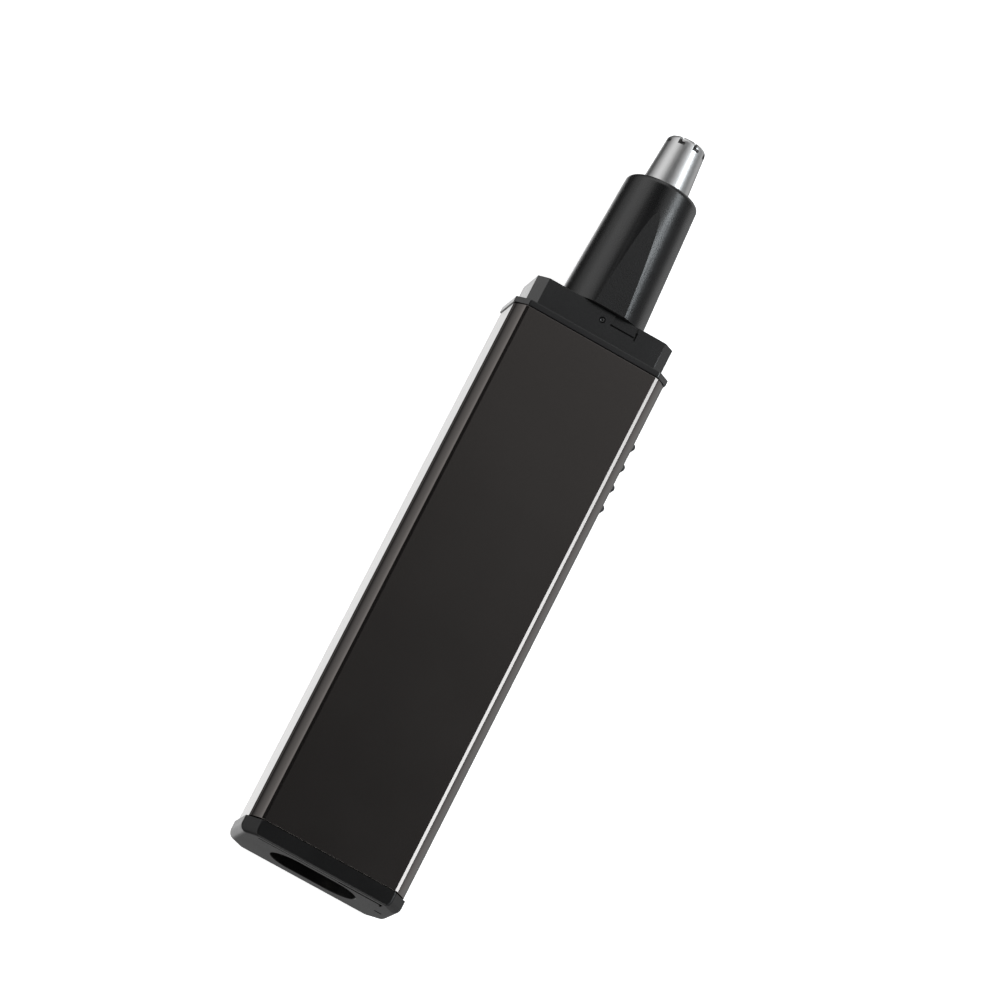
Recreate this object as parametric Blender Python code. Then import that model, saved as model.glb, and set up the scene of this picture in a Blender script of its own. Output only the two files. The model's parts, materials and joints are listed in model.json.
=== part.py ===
"""Cordless nose hair trimmer, lying on its back.

Frame: +Y runs along the body towards the cutter, +Z points out of the broad front face and +X is the
switch side. The origin is the middle of the metal sleeve's flat back face, which the trimmer lies on.

Lengths are in millimetres here and become metres where a mesh is made. Distances along the body,
called y below, are counted from the end cap's outer face, so the sleeve runs from y = 3 to y = 103.
"""
import math

import bmesh
import bpy
from mathutils import Matrix, Vector

MM = 0.001
GAP = 0.3
FINE_STEPS = 48
ROUND_STEPS = 32
SMALL_STEPS = 16
OVERCUT = 1.0

# Driving dimensions of the body
CAP_HEIGHT = 3.0
SLEEVE_LENGTH = 100.0
SLEEVE_WALL = 0.9
OVERHANG = 0.45
SLEEVE_MID = CAP_HEIGHT + SLEEVE_LENGTH / 2
SLEEVE_END = CAP_HEIGHT + SLEEVE_LENGTH
BODY_HALF_WIDTH = 14.8
BODY_HALF_FLAT = 12.6
BODY_DEPTH = 15.0
BODY_DROP = 2.7
AXIS_Z = 8.0

# Shoulder housing between the sleeve and the head
RIM_START = SLEEVE_END + GAP
RIM_END = RIM_START + 0.9
SHOULDER_END = 109.3
HOUSING_START = 90.8
NECK_RADIUS = 4.6
NECK_END = 113.6
NECK_BORE = 3.6

# Head
COLLAR_START = SHOULDER_END + GAP
COLLAR_END = 134.8
COLLAR_BASE_RADIUS = 7.95
COLLAR_TOP_RADIUS = 6.8
COLLAR_BORE = 5.5
COLLAR_SKIRT_BORE = 6.2
SKIRT_END = 114.4
FACET_BASE = 7.4
FACET_SLOPE = 0.0194
LEDGE_START = 129.5
LEDGE_RADIUS = 4.6
CUTTER_TOP = 144.6
CUTTER_BASE_RADIUS = 4.3
CUTTER_TOP_RADIUS = 3.65
CUTTER_WALL = 0.4
CUTTER_SLITS = 8
FIRST_SLIT = 14.5
SLIT_WIDTH = 0.4
SLIT_DEPTH = 1.5
SPINDLE_RADIUS = 1.5
SPRING_TOP = 127.6
BLADE_START = 138.2
RETAINER_Y = (116.4, 118.2)
LOCK_RING_INNER = 4.9
LOCK_RING_OUTER = 5.9
LOCK_KEY_REACH = 6.5
LOCK_KEY_WIDTH = 2.0

# Charging recess in the end cap
RECESS_HALF_LENGTH = 8.1
RECESS_RADIUS = 4.65
RECESS_Z = 7.7
RECESS_DEPTH = 9.0
PIN_X = 4.3
PIN_RADIUS = 1.2
INLET_SCREW_X = 10.6

# Slide switch on the +X side
SWITCH_Y = 85.6
SWITCH_PAD_LENGTH = 16.2
SWITCH_PAD_HEIGHT = 4.0
SWITCH_TRAVEL = 4.0
SWITCH_RIBS = 4
SWITCH_RIB_PITCH = 4.05
SWITCH_RIB_RADIUS = 0.75
SWITCH_TIP_X = 15.65
PLATE_X = (12.4, 13.6)

# Motor, battery and board
MOTOR_RADIUS = 6.0
MOTOR_HALF_HEIGHT = 5.0
MOTOR_START = 69.0
MOTOR_LENGTH = 20.0
MOTOR_WALL = 0.5
SHAFT_RADIUS = 0.75
BUSH_BORE = SHAFT_RADIUS + GAP
ARMATURE_RADIUS = 3.5
COUPLER_START = 94.0
DOG_ROOT_Y = 103.0
DOG_LENGTH = 5.0
DOG_RADII = (1.7, 3.0)
MOTOR_DOG_SPAN = 50.0
BLADE_DOG_SPAN = 60.0
BATTERY_X = -7.4
BATTERY_Z = 7.5
BATTERY_RADIUS = 5.25
BATTERY_START = 19.4
BATTERY_LENGTH = 44.0
BOARD_Z = (3.2, 4.2)
BOARD_START = 17.0
BOARD_STEP = 62.0
BOARD_END = 90.4
TRAY_START = 16.0
TRAY_END = 90.4
LEAD_RADIUS = 0.4


def clear_scene():
    """Remove every object of the opening scene."""
    for obj in list(bpy.data.objects):
        bpy.data.objects.remove(obj, do_unlink=True)


def make_material(name, colour, roughness, metallic=0.0):
    """A Principled material in one colour."""
    material = bpy.data.materials.new(name)
    material.use_nodes = True
    shader = material.node_tree.nodes["Principled BSDF"]
    shader.inputs["Base Color"].default_value = (*colour, 1.0)
    shader.inputs["Roughness"].default_value = roughness
    shader.inputs["Metallic"].default_value = metallic
    return material


def place(x, y, z):
    """World position in metres of a point given in the body's own millimetres."""
    return Vector((x, y - SLEEVE_MID, z)) * MM


def add_object(name, data, location, material=None, parent=None):
    """Link mesh or curve data as an object at a world position."""
    obj = bpy.data.objects.new(name, data)
    bpy.context.collection.objects.link(obj)
    obj.location = location
    if material is not None:
        data.materials.append(material)
    if parent is not None:
        obj.parent = parent
        obj.matrix_parent_inverse = parent.matrix_basis.inverted()
    return obj


def add_mesh(name, bm, location, material=None, parent=None):
    """Turn a bmesh in millimetres into an object in metres."""
    bmesh.ops.recalc_face_normals(bm, faces=bm.faces)
    bmesh.ops.scale(bm, vec=(MM, MM, MM), verts=bm.verts)
    mesh = bpy.data.meshes.new(name)
    bm.to_mesh(mesh)
    bm.free()
    mesh.shade_smooth()
    mesh.set_sharp_from_angle(angle=math.radians(32))
    return add_object(name, mesh, location, material, parent)


def add_empty(name, location):
    """An empty on a joint's axis, the parent of the pieces that move with it."""
    empty = bpy.data.objects.new(name, None)
    bpy.context.collection.objects.link(empty)
    empty.location = location
    return empty


def as_cutter(obj):
    """Show an object as a wire guide that the model leaves out."""
    obj.hide_render = True
    obj.display_type = "WIRE"
    return obj


def combine(obj, tool, operation):
    """Boolean one object with a guide object."""
    as_cutter(tool)
    modifier = obj.modifiers.new(tool.name, "BOOLEAN")
    modifier.operation = operation
    modifier.solver = "EXACT"
    modifier.object = tool


def loft(bm, sections):
    """One closed body through outlines [(y, [(x, z), ...]), ...] with equal point counts."""
    rings = []
    for y, outline in sections:
        rings.append([bm.verts.new((x, y, z)) for x, z in outline])
    for lower, upper in zip(rings, rings[1:]):
        for i in range(len(lower)):
            j = (i + 1) % len(lower)
            bm.faces.new((lower[i], lower[j], upper[j], upper[i]))
    bm.faces.new(rings[0])
    bm.faces.new(reversed(rings[-1]))
    return bm


def tube(bm, outer, inner, y0, y1):
    """A straight tube along Y between an outer and an inner outline with equal point counts."""
    rings = [[bm.verts.new((x, y, z)) for x, z in outline]
             for outline, y in ((outer, y0), (outer, y1), (inner, y1), (inner, y0))]
    for k, ring in enumerate(rings):
        following = rings[(k + 1) % len(rings)]
        for i in range(len(ring)):
            j = (i + 1) % len(ring)
            bm.faces.new((ring[i], ring[j], following[j], following[i]))
    return bm


def turned(name, profile, steps, material=None, parent=None, x=0.0, z=AXIS_Z):
    """Turn a profile of (radius, y) points about a line along Y.

    A profile that starts and ends at radius 0 makes a solid; any other is closed into a ring.
    """
    bm = bmesh.new()
    points = [bm.verts.new((radius, y, 0.0)) for radius, y in profile]
    edges = [bm.edges.new(pair) for pair in zip(points, points[1:])]
    if profile[0][0] > 0:
        edges.append(bm.edges.new((points[-1], points[0])))
    bmesh.ops.spin(bm, geom=points + edges, angle=2 * math.pi, steps=steps, axis=(0, 1, 0),
                   cent=(0, 0, 0))
    bmesh.ops.remove_doubles(bm, verts=bm.verts, dist=1e-4)
    return add_mesh(name, bm, place(x, 0.0, z), material, parent)


def ring_profile(inner, outer, y0, y1):
    """The profile of a plain bush."""
    return [(inner, y0), (outer, y0), (outer, y1), (inner, y1)]


def rod_profile(radius, y0, y1):
    """The profile of a plain rod."""
    return [(0.0, y0), (radius, y0), (radius, y1), (0.0, y1)]


def box(name, x, y, z, material=None, parent=None):
    """A block from its (low, high) pairs, with its origin at its centre."""
    centre = [(low + high) / 2 for low, high in (x, y, z)]
    size = [high - low for low, high in (x, y, z)]
    bm = bmesh.new()
    bmesh.ops.create_cube(bm, size=1.0)
    bmesh.ops.scale(bm, vec=size, verts=bm.verts)
    return add_mesh(name, bm, place(*centre), material, parent)


def prism(name, outline, y0, y1, material=None, parent=None, x=0.0, z=AXIS_Z):
    """An outline of (x, z) points about a line along Y, extruded from y0 to y1."""
    bm = loft(bmesh.new(), [(y0, outline), (y1, outline)])
    return add_mesh(name, bm, place(x, 0.0, z), material, parent)


def octagon(half_width, half_flat, low, high, drop):
    """Outline of a rectangle with cut corners; drop is the cut's height on the side faces."""
    right = [(half_flat, low), (half_width, low + drop), (half_width, high - drop), (half_flat, high)]
    return right + [(-px, pz) for px, pz in reversed(right)]


def body_octagon(inset=0.0):
    """The sleeve's outline moved inwards by the same distance on every face."""
    corner = math.atan2(BODY_DROP, BODY_HALF_WIDTH - BODY_HALF_FLAT)
    flat = BODY_HALF_FLAT - inset * math.tan(corner / 2)
    drop = BODY_DROP - inset + inset * math.tan((math.pi / 2 - corner) / 2)
    return octagon(BODY_HALF_WIDTH - inset, flat, inset, BODY_DEPTH - inset, drop)


def arc(radius, start, end, steps):
    """Points (x, z) on an arc, in degrees from +X towards +Z."""
    angles = [math.radians(start + (end - start) * k / steps) for k in range(steps + 1)]
    return [(radius * math.cos(a), radius * math.sin(a)) for a in angles]


def sector(inner, outer, middle, span, steps=6):
    """Outline of a piece of a ring."""
    low = middle - span / 2
    high = middle + span / 2
    return arc(outer, low, high, steps) + arc(inner, high, low, steps)


def stadium(half_length, radius, steps=12):
    """Outline of a slot with round ends along X, about its own centre."""
    shift = half_length - radius
    right = [(px + shift, pz) for px, pz in arc(radius, -90, 90, steps)]
    left = [(px - shift, pz) for px, pz in arc(radius, 90, 270, steps)]
    return right + left


def motor_outline(clearance=0.0):
    """Round can with a flat above and below, about the motor axis."""
    radius = MOTOR_RADIUS + clearance
    flat = math.degrees(math.asin((MOTOR_HALF_HEIGHT + clearance) / radius))
    return arc(radius, -flat, flat, 12) + arc(radius, 180 - flat, 180 + flat, 12)


def make_sleeve(materials):
    """Octagonal metal tube with the switch window in its +X side."""
    bm = tube(bmesh.new(), body_octagon(), body_octagon(SLEEVE_WALL), CAP_HEIGHT, SLEEVE_END)
    sleeve = add_mesh("sleeve", bm, place(0, 0, 0), materials["sleeve"])
    half = SWITCH_PAD_LENGTH / 2
    reach = SWITCH_PAD_HEIGHT / 2 + GAP
    window = box("cut_switch_window", (BODY_HALF_WIDTH - 2 * SLEEVE_WALL, BODY_HALF_WIDTH + OVERCUT),
                 (SWITCH_Y - half - GAP, SWITCH_Y + half + SWITCH_TRAVEL + GAP),
                 (AXIS_Z - reach, AXIS_Z + reach))
    combine(sleeve, window, "DIFFERENCE")


def make_end_cap(materials):
    """Cap with a plug inside the sleeve, pierced by the oval charging recess."""
    plug = body_octagon(SLEEVE_WALL + GAP)
    shelf = CAP_HEIGHT - GAP
    foot = octagon(13.9, 12.0, 0.4, 14.7, 2.2)
    turn = octagon(14.7, 12.5, 0.05, 14.95, 2.5)
    wide = octagon(BODY_HALF_WIDTH + OVERHANG, BODY_HALF_FLAT + 0.2, 0.0, BODY_DEPTH, BODY_DROP + 0.1)
    sections = [(0.0, foot), (0.4, turn), (1.3, wide), (shelf, wide), (shelf, plug),
                (RECESS_DEPTH, plug)]
    cap = add_mesh("end_cap", loft(bmesh.new(), sections), place(0, 0, 0), materials["cap"])
    recess = prism("cut_recess", stadium(RECESS_HALF_LENGTH, RECESS_RADIUS), -OVERCUT,
                   RECESS_DEPTH + OVERCUT, z=RECESS_Z)
    combine(cap, recess, "DIFFERENCE")
    for side in (-1, 1):
        pilot = turned(f"cut_pilot_{side}", rod_profile(0.9, 4.2, RECESS_DEPTH + OVERCUT), SMALL_STEPS,
                       x=side * INLET_SCREW_X, z=RECESS_Z)
        combine(cap, pilot, "DIFFERENCE")


def make_inlet(materials):
    """Block behind the recess with its two pins, two screws and two leads."""
    start = RECESS_DEPTH + GAP
    end = start + 3.0
    block = prism("inlet_block", stadium(12.6, 5.2), start, end, materials["inlet"], z=RECESS_Z)
    for side, word in ((-1, "left"), (1, "right")):
        hole = turned(f"cut_pin_{word}", rod_profile(PIN_RADIUS + GAP, start - OVERCUT, end + OVERCUT),
                      SMALL_STEPS, x=side * PIN_X, z=RECESS_Z)
        combine(block, hole, "DIFFERENCE")
        clearance = turned(f"cut_screw_{word}", rod_profile(0.9, start - OVERCUT, end + OVERCUT),
                           SMALL_STEPS, x=side * INLET_SCREW_X, z=RECESS_Z)
        combine(block, clearance, "DIFFERENCE")
        pin = [(0.0, 1.5), (0.7, 1.7), (PIN_RADIUS, 2.4), (PIN_RADIUS, 13.4), (0.5, 13.4), (0.5, 14.6),
               (0.0, 14.6)]
        turned(f"inlet_pin_{word}", pin, SMALL_STEPS, materials["pin"], x=side * PIN_X, z=RECESS_Z)
        screw = [(0.0, 4.6), (0.6, 5.2), (0.6, end + GAP), (1.2, end + GAP), (1.2, end + 1.2),
                 (0.0, end + 1.2)]
        turned(f"inlet_screw_{word}", screw, SMALL_STEPS, materials["steel"],
               x=side * INLET_SCREW_X, z=RECESS_Z)
    lead_right = [(PIN_X, 15.1, RECESS_Z), (PIN_X, 16.4, 8.0), (4.6, 18.4, 6.2), (5.2, 20.4, 5.0)]
    lead_left = [(-PIN_X, 15.1, RECESS_Z), (-3.2, 16.4, 8.0), (-0.4, 17.1, 6.8), (2.2, 20.2, 5.0)]
    make_lead("inlet_lead_right", lead_right, materials["red_wire"])
    make_lead("inlet_lead_left", lead_left, materials["black_wire"])


def make_lead(name, route, material):
    """A short insulated lead on a smooth curve through its route's points."""
    points = [Vector(point) for point in route]
    padded = [2 * points[0] - points[1]] + points + [2 * points[-1] - points[-2]]
    smooth = []
    for a, b, c, d in zip(padded, padded[1:], padded[2:], padded[3:]):
        for k in range(4):
            t = k / 4
            bend = (2 * a - 5 * b + 4 * c - d) * t + (3 * b - a - 3 * c + d) * t * t
            smooth.append(b + ((c - a) + bend) * t / 2)
    smooth.append(points[-1])
    curve = bpy.data.curves.new(name, "CURVE")
    curve.dimensions = "3D"
    curve.bevel_depth = LEAD_RADIUS * MM
    curve.bevel_resolution = 2
    curve.use_fill_caps = True
    spline = curve.splines.new("POLY")
    spline.points.add(len(smooth) - 1)
    for slot, point in zip(spline.points, smooth):
        slot.co = (*place(*point), 1.0)
    add_object(name, curve, (0, 0, 0), material)


def make_chassis(materials):
    """Tray with saddles for the battery, motor and board, and a thin cover over them."""
    tray = box("chassis_tray", (-11.8, 11.8), (TRAY_START, TRAY_END), (1.2, 1.9), materials["chassis"])
    blocks = [(-11.6, -1.2, 24.0, 5.2), (-11.6, -1.2, 57.0, 5.2), (0.4, 11.4, 24.4, 2.9),
              (0.4, 11.4, 56.6, 2.9), (-6.0, 6.0, 72.0, 4.4), (-6.0, 6.0, 86.0, 4.4),
              (7.2, 11.4, 72.4, 2.9), (7.2, 11.4, 85.6, 2.9)]
    for k, (x0, x1, y, top) in enumerate(blocks):
        rib = box(f"add_rib_{k}", (x0, x1), (y - 0.7, y + 0.7), (1.5, top))
        combine(tray, rib, "UNION")
    saddle = turned("cut_battery_saddle", rod_profile(BATTERY_RADIUS + GAP, 10, 68), ROUND_STEPS,
                    x=BATTERY_X, z=BATTERY_Z)
    combine(tray, saddle, "DIFFERENCE")
    cradle = prism("cut_motor_cradle", motor_outline(GAP), 66, 92)
    combine(tray, cradle, "DIFFERENCE")
    cover = box("chassis_cover", (-11.4, 11.4), (TRAY_START, TRAY_END), (13.3, 13.8),
                materials["chassis"])
    for k, y in enumerate((30.0, 50.0, 74.0)):
        vent = box(f"cut_vent_{k}", (-9.0, 9.0), (y - 1.0, y + 1.0), (12.0, 15.0))
        combine(cover, vent, "DIFFERENCE")


def make_battery(materials):
    """One long rechargeable cell and the nickel tabs at its two ends."""
    end = BATTERY_START + BATTERY_LENGTH
    cell = [(0.0, BATTERY_START), (4.6, BATTERY_START), (BATTERY_RADIUS, BATTERY_START + 0.5),
            (BATTERY_RADIUS, end - 1.4), (4.6, end - 0.8), (1.9, end - 0.8), (1.9, end), (0.0, end)]
    turned("battery_cell", cell, ROUND_STEPS, materials["battery"], x=BATTERY_X, z=BATTERY_Z)
    tab = [(-2.6, -2.5), (2.6, -2.5), (2.6, -2.0), (6.4, -2.0), (6.4, -1.0), (2.6, -1.0), (2.6, 2.5),
           (-2.6, 2.5)]
    thickness = 0.4
    prism("battery_tab_negative", tab, BATTERY_START - GAP - thickness, BATTERY_START - GAP,
          materials["nickel"], x=BATTERY_X, z=BATTERY_Z)
    prism("battery_tab_positive", tab, end + GAP, end + GAP + thickness, materials["nickel"],
          x=BATTERY_X, z=BATTERY_Z)


def make_board(materials):
    """Stepped circuit board with the charging parts on it."""
    wide = 0.6
    narrow = 7.2
    edge = 12.0
    corners = [(wide, BOARD_START), (edge, BOARD_START), (edge, BOARD_END), (narrow, BOARD_END),
               (narrow, BOARD_STEP), (wide, BOARD_STEP)]
    bm = bmesh.new()
    low, high = BOARD_Z
    bottom = [bm.verts.new((x, y, low)) for x, y in corners]
    outline = bm.faces.new(bottom)
    lifted = bmesh.ops.extrude_face_region(bm, geom=[outline])
    top = [item for item in lifted["geom"] if isinstance(item, bmesh.types.BMVert)]
    bmesh.ops.translate(bm, vec=(0, 0, high - low), verts=top)
    add_mesh("circuit_board", bm, place(0, 0, 0), materials["board"])
    deck = high + GAP
    box("transformer", (2.0, 10.6), (26.0, 34.0), (deck, deck + 7.0), materials["transformer"])
    box("charge_controller", (4.0, 8.6), (48.0, 53.0), (deck, deck + 1.4), materials["chip"])
    turned("capacitor", [(0.0, 37.0), (3.0, 37.0), (3.0, 44.5), (2.7, 45.0), (0.0, 45.0)], SMALL_STEPS,
           materials["capacitor"], x=6.4, z=deck + 3.1)


def make_switch(materials, slide):
    """Fixed switch body on the board, and the ribbed slider with the lever it pushes."""
    body = box("switch_body", (7.6, 11.0), (SWITCH_Y - 4.4, SWITCH_Y + 4.4), (BOARD_Z[1] + GAP, 10.2),
               materials["chip"])
    lever_half = 0.8
    slot = box("cut_lever_slot", (9.2, 11.0 + OVERCUT),
               (SWITCH_Y - 2.0 - lever_half - GAP, SWITCH_Y + 2.0 + lever_half + GAP),
               (AXIS_Z - 0.9 - GAP, AXIS_Z + 0.9 + GAP))
    combine(body, slot, "DIFFERENCE")
    lever_y = SWITCH_Y - SWITCH_TRAVEL / 2
    box("switch_lever", (9.5, PLATE_X[0] - GAP), (lever_y - lever_half, lever_y + lever_half),
        (AXIS_Z - 0.9, AXIS_Z + 0.9), materials["lever"], slide)
    half = SWITCH_PAD_LENGTH / 2
    back = SWITCH_Y - half - GAP - SWITCH_TRAVEL - GAP
    front = SWITCH_Y + half + SWITCH_TRAVEL + 2 * GAP
    slider = box("switch_slider", PLATE_X, (back, front), (AXIS_Z - 3.2, AXIS_Z + 3.2),
                 materials["switch"], slide)
    pad = box("add_pad", (PLATE_X[0] + 0.4, BODY_HALF_WIDTH - 0.1), (SWITCH_Y - half, SWITCH_Y + half),
              (AXIS_Z - SWITCH_PAD_HEIGHT / 2, AXIS_Z + SWITCH_PAD_HEIGHT / 2), parent=slide)
    combine(slider, pad, "UNION")
    rib_middle = SWITCH_TIP_X - SWITCH_RIB_RADIUS
    for k in range(SWITCH_RIBS):
        y = SWITCH_Y + (k - (SWITCH_RIBS - 1) / 2) * SWITCH_RIB_PITCH
        bm = bmesh.new()
        bmesh.ops.create_cone(bm, segments=SMALL_STEPS, radius1=SWITCH_RIB_RADIUS,
                              radius2=SWITCH_RIB_RADIUS, depth=SWITCH_PAD_HEIGHT - 0.4, cap_ends=True)
        rib = add_mesh(f"add_switch_rib_{k}", bm, place(rib_middle, y, AXIS_Z), parent=slide)
        combine(slider, rib, "UNION")
    for side in (-1, 1):
        near = lever_y + side * (lever_half + GAP)
        far = near + side * 1.0
        prong = box(f"add_prong_{side}", (11.4, PLATE_X[0] + 0.4), (min(near, far), max(near, far)),
                    (AXIS_Z - 0.9, AXIS_Z + 0.9), parent=slide)
        combine(slider, prong, "UNION")


def make_motor_frame(materials):
    """The parts of the motor that stay still."""
    end = MOTOR_START + MOTOR_LENGTH
    can = prism("motor_can", motor_outline(), MOTOR_START, end, materials["can"])
    bore = prism("cut_can_bore", motor_outline(-MOTOR_WALL), MOTOR_START - OVERCUT, end - MOTOR_WALL)
    combine(can, bore, "DIFFERENCE")
    eye = turned("cut_can_eye", rod_profile(2.1, end - 2.0, end + OVERCUT), SMALL_STEPS)
    combine(can, eye, "DIFFERENCE")
    bell_end = MOTOR_START - GAP
    bell = prism("motor_end_bell", motor_outline(), bell_end - 2.3, bell_end, materials["bell"])
    seat = turned("cut_bell_eye", rod_profile(2.1, bell_end - 4.0, bell_end + OVERCUT), SMALL_STEPS)
    combine(bell, seat, "DIFFERENCE")
    turned("motor_rear_bush", ring_profile(BUSH_BORE, 1.8, bell_end - 2.3, bell_end), SMALL_STEPS,
           materials["brass"])
    turned("motor_front_bush", ring_profile(BUSH_BORE, 1.8, end - 0.5, end + 1.3), SMALL_STEPS,
           materials["brass"])
    for middle, word in ((180.0, "left"), (0.0, "right")):
        prism(f"motor_magnet_{word}", sector(3.9, 5.1, middle, 90.0, 8), 74.0, 86.0,
              materials["magnet"])
    for side, word in ((-1, "left"), (1, "right")):
        x = sorted((side * 2.3, side * 4.4))
        box(f"motor_brush_{word}", x, (70.4, 72.4), (AXIS_Z - 0.9, AXIS_Z + 0.9), materials["brush"])
    turned("shaft_seal", ring_profile(BUSH_BORE, 3.3, HOUSING_START + GAP, HOUSING_START + 2.6),
           SMALL_STEPS, materials["rubber"])
    lead_right = [(4.2, 66.0, 10.6), (4.9, 64.6, 10.2), (7.4, 63.4, 8.0), (9.4, 64.2, 5.2)]
    lead_left = [(-4.2, 66.0, 10.6), (-2.4, 65.2, 10.8), (1.6, 61.8, 9.2), (4.6, 58.6, 5.2)]
    make_lead("motor_lead_right", lead_right, materials["red_wire"])
    make_lead("motor_lead_left", lead_left, materials["black_wire"])


def make_rotor(materials, spin):
    """The parts that spin with the motor's shaft."""
    turned("motor_shaft", rod_profile(SHAFT_RADIUS, 65.8, DOG_ROOT_Y - 0.5), SMALL_STEPS,
           materials["steel"], spin)
    turned("motor_commutator", ring_profile(BUSH_BORE, 2.0, 69.6, 73.0), SMALL_STEPS,
           materials["brass"], spin)
    armature = turned("motor_armature", ring_profile(BUSH_BORE, ARMATURE_RADIUS, 74.5, 85.5),
                      ROUND_STEPS, materials["winding"], spin)
    for k in range(3):
        outline = [(px + 1.9, pz) for px, pz in ((0, -0.4), (2.0, -0.4), (2.0, 0.4), (0, 0.4))]
        slot = prism(f"cut_slot_{k}", outline, 73.5, 86.5, parent=spin)
        slot.rotation_euler = (0, math.radians(60 + 120 * k), 0)
        combine(armature, slot, "DIFFERENCE")
    coupler = turned("drive_coupler", ring_profile(BUSH_BORE, DOG_RADII[1], COUPLER_START, DOG_ROOT_Y),
                     ROUND_STEPS, materials["acetal"], spin)
    for middle in (0.0, 180.0):
        dog = prism(f"add_motor_dog_{middle:.0f}", sector(*DOG_RADII, middle, MOTOR_DOG_SPAN),
                    DOG_ROOT_Y - 0.5, DOG_ROOT_Y + DOG_LENGTH, parent=spin)
        combine(coupler, dog, "UNION")


def make_housing(materials):
    """Shoulder housing: insert in the sleeve, rim, bevelled platform, neck and shaft bore."""
    insert = octagon(10.8, 10.2, 1.3, 13.7, 0.6)
    rim = octagon(BODY_HALF_WIDTH + OVERHANG, BODY_HALF_FLAT + 0.2, 0.1, BODY_DEPTH, BODY_DROP + 0.1)
    foot = octagon(13.4, 11.6, 0.5, 14.4, 1.8)
    shoulder = octagon(13.25, 11.5, 0.6, 14.3, 1.8)
    top = octagon(12.95, 11.3, 0.9, 14.0, 1.7)
    sections = [(HOUSING_START, insert), (RIM_START, insert), (RIM_START, rim), (RIM_END, rim),
                (RIM_END, foot), (SHOULDER_END - 0.3, shoulder), (SHOULDER_END, top)]
    housing = add_mesh("top_housing", loft(bmesh.new(), sections), place(0, 0, 0),
                       materials["housing"])
    neck = turned("add_neck", rod_profile(NECK_RADIUS, SHOULDER_END - 1.0, NECK_END), ROUND_STEPS)
    combine(housing, neck, "UNION")
    bore = turned("cut_housing_bore", rod_profile(NECK_BORE, HOUSING_START - OVERCUT,
                                                  NECK_END + OVERCUT), ROUND_STEPS)
    combine(housing, bore, "DIFFERENCE")
    mark = box("cut_index_slot", (1.6, 6.2), (107.4, SHOULDER_END + OVERCUT), (13.85, 17.0))
    combine(housing, mark, "DIFFERENCE")


def make_lock_ring(materials, twist):
    """Bayonet ring on the neck; its two keys turn with the collar."""
    start = COLLAR_START + 0.1
    ring = turned("lock_ring", ring_profile(LOCK_RING_INNER, LOCK_RING_OUTER, start, start + 3.4),
                  ROUND_STEPS, materials["acetal"], twist)
    half = LOCK_KEY_WIDTH / 2
    for side in (-1, 1):
        x = sorted((side * (LOCK_RING_OUTER - 0.4), side * LOCK_KEY_REACH))
        key = box(f"add_key_{side}", x, (start + 0.4, start + 3.0), (AXIS_Z - half, AXIS_Z + half),
                  parent=twist)
        combine(ring, key, "UNION")


def make_collar(materials, lift):
    """Slightly conical collar with a tapering flat on its front and keyways in its skirt."""
    profile = [(COLLAR_BASE_RADIUS - 0.15, COLLAR_START), (COLLAR_BASE_RADIUS, COLLAR_START + 0.3),
               (COLLAR_TOP_RADIUS, COLLAR_END - 0.9), (COLLAR_TOP_RADIUS - 0.25, COLLAR_END - 0.25),
               (COLLAR_TOP_RADIUS - 0.8, COLLAR_END), (LEDGE_RADIUS, COLLAR_END),
               (LEDGE_RADIUS, LEDGE_START), (COLLAR_BORE, LEDGE_START), (COLLAR_BORE, SKIRT_END),
               (COLLAR_SKIRT_BORE, SKIRT_END), (COLLAR_SKIRT_BORE, COLLAR_START)]
    collar = turned("head_collar", profile, FINE_STEPS, materials["collar"], lift)
    half = LOCK_KEY_WIDTH / 2 + GAP
    for side in (-1, 1):
        x = sorted((side * (COLLAR_SKIRT_BORE - 0.6), side * (LOCK_KEY_REACH + GAP)))
        keyway = box(f"cut_keyway_{side}", x, (COLLAR_START - OVERCUT, COLLAR_START + 4.0),
                     (AXIS_Z - half, AXIS_Z + half), parent=lift)
        combine(collar, keyway, "DIFFERENCE")
    facet_y = COLLAR_START + 14.0
    facet_z = AXIS_Z + FACET_BASE - FACET_SLOPE * 14.0
    facet = box("cut_facet", (-6.0, 6.0), (facet_y - 17.0, facet_y + 17.0), (facet_z, facet_z + 4.0),
                parent=lift)
    facet.rotation_euler = (-math.atan(FACET_SLOPE), 0, 0)
    combine(collar, facet, "DIFFERENCE")


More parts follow.
